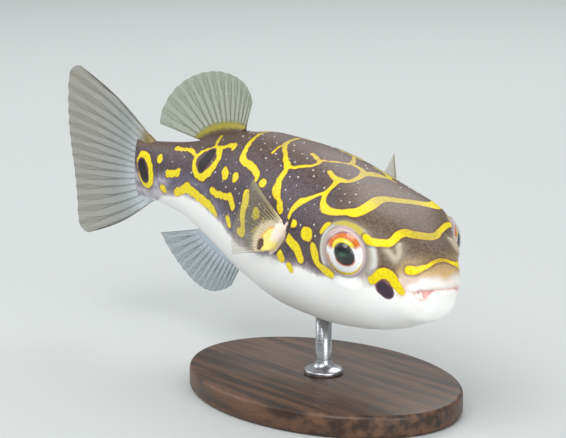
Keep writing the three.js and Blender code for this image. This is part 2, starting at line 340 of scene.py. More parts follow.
# The eyes are set first, because the flesh swells round them.
eye_station = 0.161
eye_look = (0.88, 0.43, -0.08)      # the way it looks: shares outwards, forwards and up
eye_sides = {"right": -1, "left": 1}
rim_radius = 2.45 * mm              # the part of the ball that shows
orbit_height = 1.2 * mm
orbit_reach = 2.6 * mm
orbit_depth = 1.0 * mm              # the swelling's middle is this far behind the rim
orbit_lift = 1.0 * mm               # and above it
eyes = {}
for side, sign in eye_sides.items():
    low, high = np.array(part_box("eye_" + side))
    centre = (low + high) / 2
    radius = (high[1] - low[1]) / 2
    forward, left, up = body_axes(np.array(eye_station))
    look = unit(eye_look[0] * sign * left + eye_look[1] * forward + eye_look[2] * up)
    rim_centre = centre + look * math.sqrt(radius ** 2 - rim_radius ** 2)
    rise = unit(up - (up @ look) * look)
    front = unit(forward - (forward @ look) * look - (forward @ rise) * rise)
    eyes[side] = {"centre": centre, "radius": radius, "rim": rim_centre, "axes": (front, rise, look)}
orbits = [
    eye["rim"] - orbit_depth * eye["axes"][2] + np.array((0, 0, orbit_lift)) for eye in eyes.values()
]


def skin_point(station, angle):
    """Angle 0 is the fish's right side, 90 its back, 180 its left and 270 its belly."""
    station, angle = np.broadcast_arrays(np.asarray(station, float), np.asarray(angle, float))
    turn = np.radians(angle)
    above = np.sin(turn) >= 0
    power = 2 / np.where(above, section(station, 4), section(station, 5))
    height = np.where(above, section(station, 1), section(station, 2))
    side = -section(station, 3) * np.sign(np.cos(turn)) * np.abs(np.cos(turn)) ** power
    rise = height * np.sign(np.sin(turn)) * np.abs(np.sin(turn)) ** power
    _, left_axis, up_axis = body_axes(station)
    spine_here = spine_point(station)
    point = spine_here + body_length * (side[..., None] * left_axis + rise[..., None] * up_axis)
    swell = 0
    for centre in orbits:
        away = np.sum((point - centre) ** 2, -1)
        swell = swell + orbit_height * np.exp(-away / (2 * orbit_reach ** 2))
    return point + unit(point - spine_here) * swell[..., None]


def spread_out(start, end, count, density):
    """Values from start to end, closer together where density(value) is higher."""
    fine = np.linspace(start, end, 4000)
    total = np.concatenate([[0], np.cumsum(density((fine[1:] + fine[:-1]) / 2))])
    return np.interp(np.linspace(0, total[-1], count), total, fine)


# Rows run along the fish, closest at the mouth and the eyes. Just past the root of the tail
# fin the two sides round in to the middle plane, inside the fin.
skin_end = 1.019
round_from = 0.994
skin_rows = 318
skin_columns = 288
nose_rows = 9
stations = spread_out(0.0, skin_end, skin_rows, lambda s: (
    1.0 + 1.1 * (s < 0.215) + 2.0 * np.exp(-(s / 0.03) ** 2)))
angles = spread_out(-25, 335, skin_columns + 1, lambda a: np.where(a < 205, 1.25, 0.62))[:-1]
station_grid, angle_grid = np.meshgrid(stations, angles, indexing="ij")
skin = skin_point(station_grid, angle_grid)
past = np.clip((station_grid - round_from) / (skin_end - round_from), 0, 1)
_, left_axis, _ = body_axes(station_grid)
off_middle = np.sum((skin - spine_point(station_grid)) * left_axis, -1)
skin = skin - left_axis * (off_middle * (1 - np.sqrt(1 - 0.99 * past ** 2)))[..., None]

# The front of the snout is closed by smaller and smaller rings, slightly domed.
first_ring = skin[0]
nose_middle = first_ring.mean(0)
nose_forward = body_axes(np.array(0.0))[0]
nose_dome = 0.22 * mm
nose = [
    nose_middle + share * (first_ring - nose_middle) + nose_forward * nose_dome * (1 - share ** 2)
    for share in np.linspace(0.04, 1, nose_rows, endpoint=False)
]
skin = np.concatenate([nose, skin])
skin_station = np.concatenate([np.zeros((nose_rows, len(angles))), station_grid])
skin_angle = np.concatenate([np.tile(angles, (nose_rows, 1)), angle_grid])
bare_skin = skin.copy()
normals = unit(np.cross(np.roll(skin, -1, 1) - np.roll(skin, 1, 1), np.gradient(skin, axis=0)))
normals *= np.sign(np.sum(normals * (skin - spine_point(skin_station + 0.02)), -1))[..., None]


def depth_in(mark, side="right"):
    """How deep each point of the skin lies inside a mark: a smooth line through points, each
    a station in thousandths of the body's length, an angle, and a width in hundredths of a mm.
    It is mirrored for the left side. Less than 0 is outside."""
    mark = np.array(mark) / (1000, 1, 100)
    if side == "left":
        mark[:, 1] = 180 - mark[:, 1]
    ends = np.concatenate([[2 * mark[0] - mark[1]], mark, [2 * mark[-1] - mark[-2]]])
    line = []
    for a, b, c, d in zip(ends, ends[1:], ends[2:], ends[3:]):
        for t in np.linspace(0, 1, 8, endpoint=False):
            line.append(0.5 * (2 * b + (c - a) * t + (2 * a - 5 * b + 4 * c - d) * t ** 2
                               + (3 * b - a - 3 * c + d) * t ** 3))
    line = np.array(line + [mark[-1]])
    places = skin_point(line[:, 0], line[:, 1])
    half = line[:, 2] * mm / 2
    margin = 4 * mm
    inside = np.full(bare_skin.shape[:2], -margin)
    close = ((bare_skin > places.min(0) - margin) & (bare_skin < places.max(0) + margin)).all(-1)
    chosen = bare_skin[close]
    deepest = np.full(len(chosen), -margin)
    for start, end, half_start, half_end in zip(places, places[1:], half, half[1:]):
        run = end - start
        share = np.clip((chosen - start) @ run / max(run @ run, 1e-18), 0, 1)
        away = np.linalg.norm(chosen - start - share[:, None] * run, axis=-1)
        deepest = np.maximum(deepest, lerp(half_start, half_end, share) - away)
    inside[close] = deepest
    return inside


def deepest_in(*marks):
    return np.max([depth_in(mark, side) for mark in marks for side in eye_sides], axis=0)


# The mouth: a curved line across the front, open at each side, between two soft lips.
forward_axis, side_axis, up_axis = body_axes(np.array(0.0))
from_snout = skin - snout
mouth_side = np.abs(from_snout @ side_axis) / mm
mouth_rise = from_snout @ up_axis / mm
at_front = 1 - smooth(-(from_snout @ forward_axis) / mm, 2.6, 4.4)
mouth_half_width = 2.85
gap_middle = 2.2                    # the gap is widest here, near the corner
gap_height = 1.22
left_shut = 0.7                     # the mouth opens on the right, and hardly on the left
upper_lip_height = 0.18             # in mm, as are the plain numbers of the relief below
lower_lip_height = 0.07
lip_line_depth = 0.08
mouth_depth = 0.45 * mm
throat_back = 4.2 * mm
throat_down = 1.0 * mm


def mouth_line(side):
    """Height of the upper lip's edge, in mm above the snout's middle line."""
    return -0.44 - 0.030 * side ** 2


upper_edge = mouth_line(mouth_side) - 0.30 * smooth(mouth_side, 2.35, mouth_half_width)
gap_reach = np.where(mouth_side > gap_middle, 0.56, 0.68)
gap_open = gap_height * bell(mouth_side, gap_middle, gap_reach) * (
    1 - smooth(mouth_side, mouth_half_width - 0.2, mouth_half_width + 0.1))
gap_open = gap_open * (1 - left_shut * (from_snout @ side_axis > 0))
above_gap = mouth_rise - upper_edge
below_gap = upper_edge - gap_open - mouth_rise
lip_reach = at_front * (1 - smooth(mouth_side, mouth_half_width - 0.1, mouth_half_width + 0.7))
upper_lip = bell(above_gap, 0.50, 0.45) * lip_reach
lower_lip = bell(below_gap, 0.52, 0.50) * lip_reach
lip_line = bell(np.minimum(np.abs(above_gap), np.abs(below_gap)), 0, 0.13) * lip_reach
in_mouth = smooth(-np.maximum(above_gap, below_gap), -0.02, 0.14) * at_front * (
    1 - smooth(mouth_side, mouth_half_width - 0.05, mouth_half_width + 0.12))
detail = upper_lip * upper_lip_height + lower_lip * lower_lip_height - lip_line * lip_line_depth

# Each nostril is a short forked flap of two low ridges in front of the eye. The gill opening
# is a slit with a raised edge in front of the pectoral fin, and fleshy lobes carry the fins.
nostril_height = 0.24
nostril_flaps = [
    [(64, 26, 0), (76, 30, 0), (90, 34, 0)],
    [(63, 27, 0), (63, 37, 0), (72, 47, 0)],
]
from_flap = -deepest_in(*nostril_flaps) / mm
nostril = bell(from_flap, 0, 0.30) + 0.45 * bell(from_flap, 0, 0.66)
detail += nostril * nostril_height
gill_edge_height = 0.14
gill_depth = 0.42
gill_line = [(334, 17, 12), (336, 10, 16), (343, 4, 16), (357, -1, 16), (368, -5, 14), (380, -8, 10)]
gill_edge = [(322, 16, 0), (324, 9, 0), (331, 2, 0), (345, -3, 0), (357, -7, 0), (372, -11, 0)]
gill = deepest_in(gill_line) / mm
gill_rise = gill_edge_height * bell(deepest_in(gill_edge) / mm, 0, 0.45)
detail += gill_rise - gill_depth * smooth(gill, -0.25, 0.05)
fin_feet = [
    # height and reach of each lobe in mm, and its place
    (0.35, 0.9, [(690, 90, 0), (740, 90, 0), (800, 90, 0)]),
    (0.30, 0.9, [(690, 270, 0), (740, 270, 0), (800, 270, 0)]),
    (0.30, 0.8, [(370, 8, 0), (380, 0, 0), (392, -9, 0)]),
]
for height, reach, foot in fin_feet:
    detail += height * bell(deepest_in(foot) / mm, 0, reach)
skin = skin + normals * detail[..., None] * mm

# The inside of the mouth is drawn back towards a point behind the lips.
throat = snout - throat_back * forward_axis - throat_down * up_axis
skin = skin + unit(throat - skin) * (mouth_depth * in_mouth)[..., None]

# Round each eye the skin is drawn down to the ball: a soft rim, a groove, then a low fold in
# front and behind. Under the ball it lies deeper, out of sight. "orbit" is how far past the
# rim a point is, in mm, and points beside the rim are moved onto it so that it runs clean.
rim_snap = 0.40
rim_past = 0.06                     # the rim runs this far inside the ball's shown edge
rim_height = 0.10
groove_depth = 0.05
fold_height = 0.15
under_ball = 2.20
orbit = np.full(skin.shape[:2], 9.0)
eye_fold = np.zeros(skin.shape[:2])
for eye in eyes.values():
    front, rise, look = eye["axes"]
    radius = eye["radius"] / mm
    offset = skin - eye["centre"]
    away = np.linalg.norm(offset, axis=-1) / mm
    towards = offset / away[..., None] / mm
    turned = np.arccos(np.clip(towards @ look, -1, 1))
    sideways = unit(towards - (towards @ look)[..., None] * look)
    round_rim = np.arctan2(sideways @ rise, sideways @ front)
    past_rim = (turned - math.asin(rim_radius / eye["radius"])) * radius
    # how high the flesh stands over the ball at the rim, all the way round
    at_rim = (np.abs(past_rim) < 0.25) & (away < radius + 3)
    waves = [np.cos(k * round_rim) for k in range(4)] + [np.sin(k * round_rim) for k in (1, 2, 3)]
    waves = np.stack(waves, -1)
    flesh_over = waves @ np.linalg.lstsq(waves[at_rim], (away - radius)[at_rim], rcond=None)[0]
    outside = np.hypot(past_rim * away / radius, away - radius - flesh_over)
    inside = np.where(away < radius + 3, past_rim, 9.0)
    gap = np.where(past_rim > 0, outside, inside)
    near_rim = np.clip(np.abs(gap + rim_past) / rim_snap, 0.001, 1)
    snapped = np.where(near_rim < 1, (gap + rim_past) * near_rim ** 1.6 - rim_past, gap)
    turned = turned + (snapped - gap) / radius
    towards = np.cos(turned)[..., None] * look + np.sin(turned)[..., None] * sideways
    fold = bell(snapped, 1.0, 0.30) * smooth(np.abs(sideways @ front), 0.30, 0.90)
    hold = 1 - smooth(snapped, 0.10, 1.25)
    relief = rim_height * bell(snapped, 0.18, 0.18) - groove_depth * bell(snapped, 0.50, 0.18)
    relief = relief - under_ball * (1 - smooth(snapped, -0.42, -0.07))
    settled = lerp(away, radius + relief, hold) + fold_height * fold
    near = (gap < 1.6)[..., None]
    skin = np.where(near, eye["centre"] + towards * settled[..., None] * mm, skin)
    orbit = np.minimum(orbit, snapped)
    eye_fold = np.maximum(eye_fold, fold)

# The markings. Those that reach the back end on the left; the others are on both sides.
paired_marks = {
    "tail eye spot": [
        (983, 39, 80), (963, 33, 100), (950, 19, 100), (944, 5, 105), (950, -12, 110), (967, -20, 100),
        (984, -7, 50), (993, 8, 30), (996, 24, 50), (983, 39, 80)],
    "tail dots": [(919, 38, 100), (917, 36, 105)],
    "low tail dot": [(902, -12, 100), (893, -13, 105)],
    "tail bar": [(880, 16, 98), (861, 17, 84), (841, 22, 106)],
    "flank band": [
        (846, -8, 95), (811, 2, 115), (794, 7, 125), (766, 5, 120), (725, 2, 115), (679, 0, 115),
        (651, -3, 90)],
    "big eye spot": [
        (782, 34, 75), (770, 28, 105), (749, 24, 105), (733, 25, 125), (712, 29, 120), (697, 37, 110),
        (692, 45, 95), (708, 53, 85), (733, 59, 55), (761, 56, 38), (778, 50, 60), (786, 42, 65),
        (782, 34, 75)],
    "eye spot tail": [(876, 63, 75), (852, 60, 42), (827, 58, 48), (804, 52, 50), (786, 46, 50)],
    "eye spot hook": [(716, 58, 65), (696, 59, 60), (682, 61, 70), (661, 59, 75), (656, 56, 85)],
    "eye spot stalk": [(735, 60, 50), (748, 74, 50), (752, 86, 50)],
    "flank dots": [(640, 32, 125), (634, 30, 130)],
    "flank dot": [(590, 31, 110), (587, 30, 115)],
    "shoulder line": [
        (624, 82, 55), (618, 69, 65), (610, 58, 85), (601, 49, 100), (583, 45, 90), (556, 44, 100),
        (529, 42, 90), (512, 40, 90), (503, 36, 70)],
    "low shoulder line": [
        (679, 14, 80), (662, 13, 85), (638, 13, 85), (603, 14, 75), (583, 14, 105), (566, 9, 105)],
    "flank bar": [
        (519, 22, 135), (513, 17, 150), (515, 11, 130), (514, 5, 115), (509, 1, 115), (511, -4, 120),
        (530, -5, 100)],
    "low flank dot": [(589, -2, 105), (581, -4, 105)],
    "blob behind the fin": [(460, 13, 130), (456, 12, 130)],
    "pale arc": [(425, 11, 38), (437, 5, 38), (466, -1, 32)],
    "high blob": [(477, 36, 105), (470, 35, 115)],
    "shoulder bar": [
        (519, 75, 55), (486, 66, 55), (466, 61, 60), (437, 55, 75), (429, 47, 90), (425, 40, 105),
        (417, 34, 140), (408, 31, 110), (396, 28, 72), (387, 25, 90), (377, 21, 95)],
    "shoulder twig": [(519, 62, 45), (523, 70, 40), (519, 75, 45)],
    "back mesh": [(437, 55, 60), (420, 56, 60), (400, 61, 52), (384, 66, 46), (380, 72, 42)],
    "back twig": [(380, 72, 40), (402, 75, 46), (425, 77, 50)],
    "nape loop": [(289, 90, 70), (277, 83, 70), (273, 74, 65), (293, 68, 80)],
    "nape twig": [(293, 68, 78), (314, 68, 62), (334, 70, 58)],
    "nape line": [
        (293, 68, 75), (285, 61, 66), (281, 52, 62), (275, 46, 66), (263, 40, 82), (250, 37, 90)],
    "cheek line": [
        (283, 51, 52), (292, 47, 46), (314, 38, 66), (330, 33, 95), (339, 27, 78), (343, 23, 58),
        (343, 18, 40)],
    "snout line": [(37, 22, 90), (30, 26, 92), (25, 32, 74), (18, 52, 48), (18, 70, 40), (19, 89, 30)],
    "cheek crook": [
        (100, -3, 80), (93, -1, 100), (85, 2, 112), (76, 4, 120), (66, 3, 118), (57, -1, 108),
        (50, -4, 100), (43.5, -7, 84)],
    "drop behind the eye": [
        (247, 4, 120), (241, 1, 140), (235, -2, 95), (224, -4, 80), (208, -5, 110), (193, -7, 65)],
    "cheek blob": [(280, 12, 145), (269, 12, 150)],
    "gill dot": [(323, 16, 90), (319, 16, 90)],
    "cheek bar": [(329, 5, 110), (315, 2, 120), (299, 0, 125), (287, -4, 115)],
    "low gill dot": [(355, -6, 110), (352, -8, 115)],
    "low cheek dot": [(326, -12, 105), (321, -13, 105)],
    "rear lid bar": [(227, 18, 65), (218, 23, 85), (208, 26, 55)],
}
crossing_marks = {
    "across the shoulder": [(624, 82, 50), (625, 93, 50), (622, 103, 50)],
    "across the back": [(519, 75, 50), (527, 83, 52), (536, 98, 50), (515, 104, 45), (480, 117, 40)],
    "back mesh link": [
        (380, 72, 42), (382, 76, 38), (371, 79, 36), (355, 86, 34), (343, 91, 45), (375, 101, 45),
        (405, 110, 45)],
    "nape link": [(343, 91, 45), (314, 92, 52), (289, 90, 68)],
    "nape stub": [(289, 90, 68), (293, 98, 45), (277, 103, 36), (250, 107, 28)],
    "brow line": [
        (250, 37, 85), (228, 37, 85), (203, 40, 85), (186, 45, 100), (173, 49, 140), (170, 57, 145),
        (174, 67, 145), (183, 78, 130), (182, 86, 105), (172, 92, 95), (166, 99, 90), (158, 112, 100),
        (160, 123, 130), (174, 132, 140), (200, 140, 105), (250, 143, 90)],
    "forehead line": [
        (125, 32, 62), (112, 31, 82), (96, 37, 90), (88, 42, 95), (86, 50, 92), (88, 60, 95),
        (86, 70, 105), (78, 76, 105), (71, 85, 110), (67, 94, 102), (71, 105, 78), (84, 115, 62),
        (98, 125, 65), (118, 138, 65), (130, 148, 55)],
}
gill_skin = [(344, 15, 20), (350, 8, 55), (360, 2, 75), (372, -3, 75), (386, -7, 45)]
mouth_blush = [(46, -9, 45), (42, -2, 75), (36, 4, 85), (26, 8, 40)]
olive_lid = [(200, 28, 30), (186, 30, 42), (171, 33, 58), (156, 34, 66), (142, 34, 60), (131, 33, 45)]
black_marks = {
    "big eye spot": [(747, 37, 220), (735, 47, 220)],
    "tail eye spot": [(980, 17, 170), (968, -2, 175)],
    "cheek spot": [(79.5, -7, 150), (70.5, -10, 150)],
}

# Lines that meet run together, so their depths are added in a soft way.
join = 0.11 * mm
total = sum(np.exp(depth_in(mark) / join) for mark in crossing_marks.values())
for side in eye_sides:
    total = total + sum(np.exp(depth_in(mark, side) / join) for mark in paired_marks.values())
yellow = join * np.log(np.maximum(total, 1e-12))

# The white belly ends at a wavy edge low on each flank: the angle of that edge at a station.
belly_edge = np.array([
    (0, 38), (3, 28), (8, 18), (13, 11), (19, 4), (24, -1), (29, -7), (36, -12), (53, -14), (69, -17),
    (86, -13), (98, -8), (120, -7), (155, -7), (190, -9), (236, -11), (277, -10), (339, -12),
    (388, -11), (425, -13), (470, -14), (548, -16), (597, -12), (622, -8), (700, -5), (745, -3),
    (807, -5), (844, -14), (889, -24), (915, -38), (940, -58), (1020, -84),
])
from_back = np.abs((skin_angle - 90 + 180) % 360 - 180)
right_angle = 90 - from_back
edge = np.interp(skin_station, belly_edge[:, 0] / 1000, belly_edge[:, 1])
girth = np.linalg.norm(bare_skin - spine_point(skin_station), axis=-1)
belly = np.radians(edge - right_angle) * np.maximum(girth, 0.5 * mm)
upper_lip_white = (0.12 - mouth_rise - 4 * (1 - at_front)) * mm
belly = np.maximum(belly, upper_lip_white)


def closed_mesh(name, rings, fields={}):
    """A mesh of closed rings of points with a point at each end, its faces pointing out.
    Each field is a number at every point of the rings."""
    rows, columns = rings.shape[:2]
    points = np.concatenate([rings.reshape(-1, 3), [rings[0].mean(0)], [rings[-1].mean(0)]])
    quads = quads_round(rows, columns)
    column = np.arange(columns)
    after = (column + 1) % columns
    pole = 0 * column + rows * columns
    last = (rows - 1) * columns
    caps = np.concatenate([
        np.stack([pole, after, column], -1),
        np.stack([pole + 1, last + column, last + after], -1),
    ])
    a, b, c, d = [points[quads[:, k]] - points.mean(0) for k in range(4)]
    way = 1 if np.sum(a * np.cross(b, c) + a * np.cross(c, d)) > 0 else -1
    mesh = new_mesh(name, points, [*quads[:, ::way], *caps[:, ::way]])
    for field, values in fields.items():
        flat = np.broadcast_to(values, (rows, columns)).ravel()
        attribute = mesh.attributes.new(field, "FLOAT", "POINT")
        attribute.data.foreach_set("value", np.concatenate([flat, [flat[0], flat[-1]]]))
    return mesh


skin_mesh = closed_mesh("skin", skin, {
    "yellow": yellow / mm,
    "olive": deepest_in(olive_lid) / mm,
    "gill_skin": deepest_in(gill_skin) / mm,
    "blush": deepest_in(mouth_blush) / mm,
    "black": deepest_in(*black_marks.values()) / mm,
    "belly": belly / mm,
    "station": skin_station,
    "ridge": 1 - from_back / 90,
    "lip": np.clip(upper_lip + lower_lip, 0, 1),
    "mouth": in_mouth,
    "lip_line": lip_line,
    "orbit": orbit,
    "fold": eye_fold,
    "nostril": np.clip(nostril, 0, 1),
    "gill": gill,
})


paint = Paint("puffer_skin")
ramp, mottle, plus, times, field = paint.ramp, paint.mottle, paint.plus, paint.times, paint.field
station = field("station")
ridge = field("ridge")
broad = paint.noise(4.0, 2)
lumps = paint.noise(1.1, 3)
beads = paint.noise(0.75, 0)
fine = paint.noise(0.28, 3, 0.6)
grain = paint.noise(0.09, 2, 0.6)
waver = plus(times(plus(lumps, -0.5), 0.55), times(plus(fine, -0.5), 0.22))
depth = plus(field("belly"), waver)
on_head = ramp(plus(station, times(broad, 0.08)), 0.34, 0.16)
lip_front = times(ramp(depth, 1.3, 0.6), ramp(station, 0.012, 0.001))
white = paint.layers(mottle(broad, (250, 250, 248), (253, 252, 248)), ((228, 221, 212), lip_front))
ragged = ramp(depth, ramp(station, 0.060, 0.020, -0.30, -0.9), ramp(station, 0.060, 0.020, 0.20, 0.65))
bead_size = times(plus(beads, -0.5), 0.40)
line = plus(plus(field("yellow"), times(waver, 0.22)), times(bead_size, ramp(station, 0.25, 0.42)))
gold = mottle(fine, (228, 200, 2), (246, 232, 10))
dull_gold = mottle(fine, (172, 150, 12), (200, 184, 44))
line_gold = paint.layers(
    gold, (dull_gold, ramp(ridge, 0.58, 0.92)), ((220, 160, 26), ramp(line, 0.12, -0.02)))
spot = plus(field("black"), times(waver, 0.25))
shade = paint.layers(
    # the dark back: plum brown, cooler low down, warmer and paler on the head
    mottle(fine, (60, 48, 54), (98, 84, 92)),
    (mottle(fine, (66, 47, 44), (106, 85, 76)), ramp(ridge, 0.45, 0.75)),
    (mottle(fine, (82, 63, 51), (118, 98, 79)), on_head),
    ((150, 132, 126), ramp(grain, 0.55, 0.75), 0.30),
    # tan over the mouth
    (paint.mix(fine, (184, 152, 100), (216, 186, 136)),
     ramp(depth, -3.0, -0.6), ramp(station, 0.095, 0.040)),
    # a cooler band low on the flank, whitish streaks and lilac under the tail's eye spot
    (mottle(lumps, (100, 96, 118), (146, 146, 168), 0.35, 0.65),
     ramp(depth, -2.8, -0.2), ramp(station, 0.25, 0.5), 0.75),
    ((208, 200, 208),
     ramp(depth, -2.6, -1.0), ramp(station, 0.86, 0.92), ramp(lumps, 0.30, 0.60, 0.35, 0.90)),
    ((92, 66, 44), ramp(station, 0.94, 0.99), ramp(ridge, 0.55, 0.75), 0.7),
    # the white belly with a ragged edge
    ((200, 188, 190), ramp(depth, -0.9, 0.0), 0.7),
    (white, ragged),
    # a soft beige ring and a pale fold round the eye, and cream nostril flaps
    ((186, 168, 150), ramp(field("orbit"), 2.0, 0.8), ramp(depth, 0.1, -0.5), 0.6),
    ((226, 227, 220), field("fold"), 0.85),
    ((220, 206, 180), field("nostril"), 0.62),
    # pinkish skin at the corner of the mouth and behind the gill
    ((222, 196, 178), ramp(field("blush"), -0.70, 0.25), 0.85),
    ((250, 224, 208), ramp(plus(field("gill_skin"), waver), -0.15, 0.10)),
    # olive lid, then the yellow lines with a darker edge, then the black spots
    ((196, 180, 56), ramp(plus(field("olive"), waver), -0.16, 0.10), 0.85),
    ((62, 46, 48), ramp(line, -0.34, -0.10), ramp(depth, 0.0, -0.6), 0.45),
    (line_gold, ramp(line, -0.07, 0.05)),
    ((112, 70, 84), ramp(spot, -0.16, 0.02)),
    (paint.mix(on_head, (24, 14, 20), (60, 46, 60)), ramp(spot, -0.08, 0.22)),
    # a lilac and pink rim on the eye, painted shade in the gill slit, pale lips and a pink mouth
    ((164, 150, 160), ramp(field("orbit"), 0.62, 0.40), 0.70),
    ((208, 184, 182), ramp(field("orbit"), 0.30, 0.12)),
    # painted shade: the gill slit darkened where its opening lies in shadow
    ((84, 46, 40), ramp(field("gill"), -0.12, 0.02), 0.85),
    ((246, 240, 236), field("lip"), 0.5),
    ((238, 186, 180), field("lip_line"), 0.65),
    ((244, 190, 182), field("mouth")),
)
skin_material = paint.finish(
    Base_Color=shade,
    Roughness=ramp(fine, 0.2, 0.8, 0.32, 0.46),
    Specular_IOR_Level=0.35,
    Subsurface_Weight=0.12,
    Subsurface_Radius=(1.0, 0.5, 0.4),
    Subsurface_Scale=0.5 * mm,
    Normal=paint.bump(plus(times(fine, 0.7), times(grain, 0.3)), 0.05),
)
skin_piece = new_piece("skin", skin_mesh, skin_material)
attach(skin_piece, "root")
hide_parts("head", "trunk", "tail")


# ------------------------------------------------------------------ eyes
# Each eye is a glossy ball deep in the head: a silver, yellow and orange iris round a large
# oval pupil, under a clear cornea that bulges out of the skin's rim. They are set apart from
# the skin and cannot be seen past the rim.
iris_radius = 2.44 * mm             # the disc that carries it
iris_edge = 2.30                    # mm, out to its dark edge
iris_bulge = 0.95 * mm
iris_middle = (0.36, -0.04)         # mm to the front and up from the rim's middle
pupil_middle = (0.50, 0.16)
iris_rings = 56
iris_columns = 128
back_rings = 20
pupil_long = 1.28 * mm
pupil_short = 1.04 * mm
pupil_tilt = math.radians(42)       # its top leans back
lens_bulge = 0.30 * mm
lens_inset = 0.08 * mm
cornea_wall = 0.10 * mm
cornea_inset = 0.05 * mm
cornea_rings = 28
cornea_columns = 96

paint = Paint("puffer_iris")
ramp, field = paint.ramp, paint.field
streaks = field("streaks")
out = field("out")
from_top = field("from_top")
past = field("past_pupil")
yellow_ring = paint.mix(streaks, (236, 196, 10), (255, 236, 50))
orange = paint.layers(
    (190, 88, 14), ((240, 128, 40), ramp(out, 1.4, 2.1)), ((150, 76, 28), streaks, 0.5))
iris_paint = paint.layers(
    paint.mix(streaks, (244, 242, 242), (255, 255, 252)),
    # tan low at the rear, orange over the top, yellow beside the pupil and along the bottom
    ((206, 146, 88),
     ramp(field("front"), -0.5, -1.6), ramp(field("rise"), 0.3, -0.6), ramp(out, 1.5, 2.0)),
    (orange, ramp(from_top, 74, 54), ramp(out, 1.32, 1.62)),
    (yellow_ring, ramp(from_top, 60, 42), ramp(past, 0.50, 0.36)),
    (yellow_ring, ramp(from_top, 100, 135), ramp(out, 1.88, 2.02)),
    # its dark edge, then a pinkish lilac ring out to the rim
    ((150, 104, 96), ramp(out, iris_edge - 0.09, iris_edge)),
    ((196, 168, 166), ramp(out, iris_edge + 0.05, iris_edge + 0.16)),
    # a thin red line under the pupil, and a painted reflection on it: a green sheen
    ((204, 74, 28), ramp(past, 0.18, 0.07), ramp(from_top, 96, 122), 0.9),
    (paint.layers((16, 16, 20), ((52, 104, 78), field("painted_sheen"), 0.75)), ramp(past, 0.05, -0.05)),
)
iris_material = paint.finish(
    Base_Color=iris_paint,
    Roughness=0.22,
    Coat_Weight=0.6,
    Coat_Roughness=0.04,
    Normal=paint.bump(streaks, 0.01),
)

paint = Paint("puffer_cornea")
# a grey haze, thicker where the cap turns edge-on: a painted reflection along its rim, over the real
# gloss
edge_on = paint.node("ShaderNodeLayerWeight")["Facing"]
cornea_material = paint.finish(
    Base_Color=paint.mix(paint.noise(0.8), (110, 120, 122), (150, 154, 160)),
    Alpha=paint.ramp(edge_on, 0.45, 0.98, 0.02, 0.26),
    Roughness=0.03,
    Specular_IOR_Level=0.9,
)


def rings_about(centre, axes, radii, heights, columns):
    """Rings about the third axis, each with its own radius and height along that axis."""
    turn = turns(columns)[None, :, None]
    spokes = np.cos(turn) * axes[0] + np.sin(turn) * axes[1]
    radii = np.asarray(radii)[:, None, None]
    heights = np.asarray(heights)[:, None, None]
    return centre + radii * spokes + heights * axes[2]


iris_turn = turns(iris_columns)[None]
top_of_iris = math.radians(98)      # from the front, up and back
iris_spokes = 0.5 + 0.25 * np.sin(iris_turn * 23) + 0.15 * np.sin(iris_turn * 37 + 1.3) + (
    0.10 * np.sin(iris_turn * 61 + 4))
for side, eye in eyes.items():
    look = eye["axes"][2]
    rim_out = (eye["rim"] - eye["centre"]) @ look
    # the face of the iris, then the back of the ball
    share = np.linspace(1 / iris_rings, 1, iris_rings)
    back_radius = math.hypot(iris_radius, rim_out) * 0.995
    back_turn = np.linspace(math.atan2(iris_radius, rim_out), math.pi, back_rings)[1:-1]
    radii = np.concatenate([iris_radius * share, back_radius * np.sin(back_turn)])
    heights = np.concatenate([
        rim_out + iris_bulge * (1 - share ** 2), back_radius * np.cos(back_turn)])
    ball = rings_about(eye["centre"], eye["axes"], radii, heights, iris_columns)
    front, rise = [
        radii[:, None] * wave - middle * mm
        for wave, middle in zip((np.cos(iris_turn), np.sin(iris_turn)), iris_middle)
    ]
    pupil_front = front + (iris_middle[0] - pupil_middle[0]) * mm
    pupil_rise = rise + (iris_middle[1] - pupil_middle[1]) * mm
    along = pupil_rise * math.cos(pupil_tilt) - pupil_front * math.sin(pupil_tilt)
    across = pupil_front * math.cos(pupil_tilt) + pupil_rise * math.sin(pupil_tilt)
    oval = np.hypot(along / pupil_long, across / pupil_short)
    on_face = (np.arange(len(radii)) < iris_rings)[:, None]
    lens = lens_bulge * np.sqrt(np.clip(1 - oval ** 2, 0, 1)) - lens_inset * (oval < 1)
    iris_lip = 0.05 * mm * bell(oval, 1.12, 0.08)
    ball = ball + ((lens + iris_lip) * on_face)[..., None] * look
    past_pupil = np.where(on_face, (oval - 1) * (pupil_short + pupil_long) / 2, 1.5 * mm)
    iris_mesh = closed_mesh("iris_" + side, ball, {
        "front": front / mm,
        "rise": rise / mm,
        "out": np.hypot(front, rise) / mm,
        "past_pupil": past_pupil / mm,
        "from_top": np.degrees(np.arccos(np.cos(np.arctan2(rise, front) - top_of_iris))),
        "streaks": iris_spokes,
        # where the painted green reflection lies on the pupil
        "painted_sheen": bell(pupil_front / mm, 0.0, 0.45) * bell(pupil_rise / mm, 0.05, 0.22),
    })
    iris = new_piece("iris_" + side, iris_mesh, iris_material)
    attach(iris, "root")
    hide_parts("eye_" + side)

    # the cornea: a thin clear cap on the ball
    cap_edge = math.asin((rim_radius - cornea_inset) / eye["radius"])
    cap_turn = np.linspace(0, cap_edge, cornea_rings + 1)[1:]
    cap_turn = np.concatenate([cap_turn, cap_turn[::-1]])
    cap_radius = eye["radius"] - cornea_wall * np.repeat((0, 1), cornea_rings)
    radii = cap_radius * np.sin(cap_turn)
    heights = cap_radius * np.cos(cap_turn)
    cap = rings_about(eye["centre"], eye["axes"], radii, heights, cornea_columns)
    cornea = new_piece("cornea_" + side, closed_mesh("cornea_" + side, cap), cornea_material)
    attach(cornea, "root")


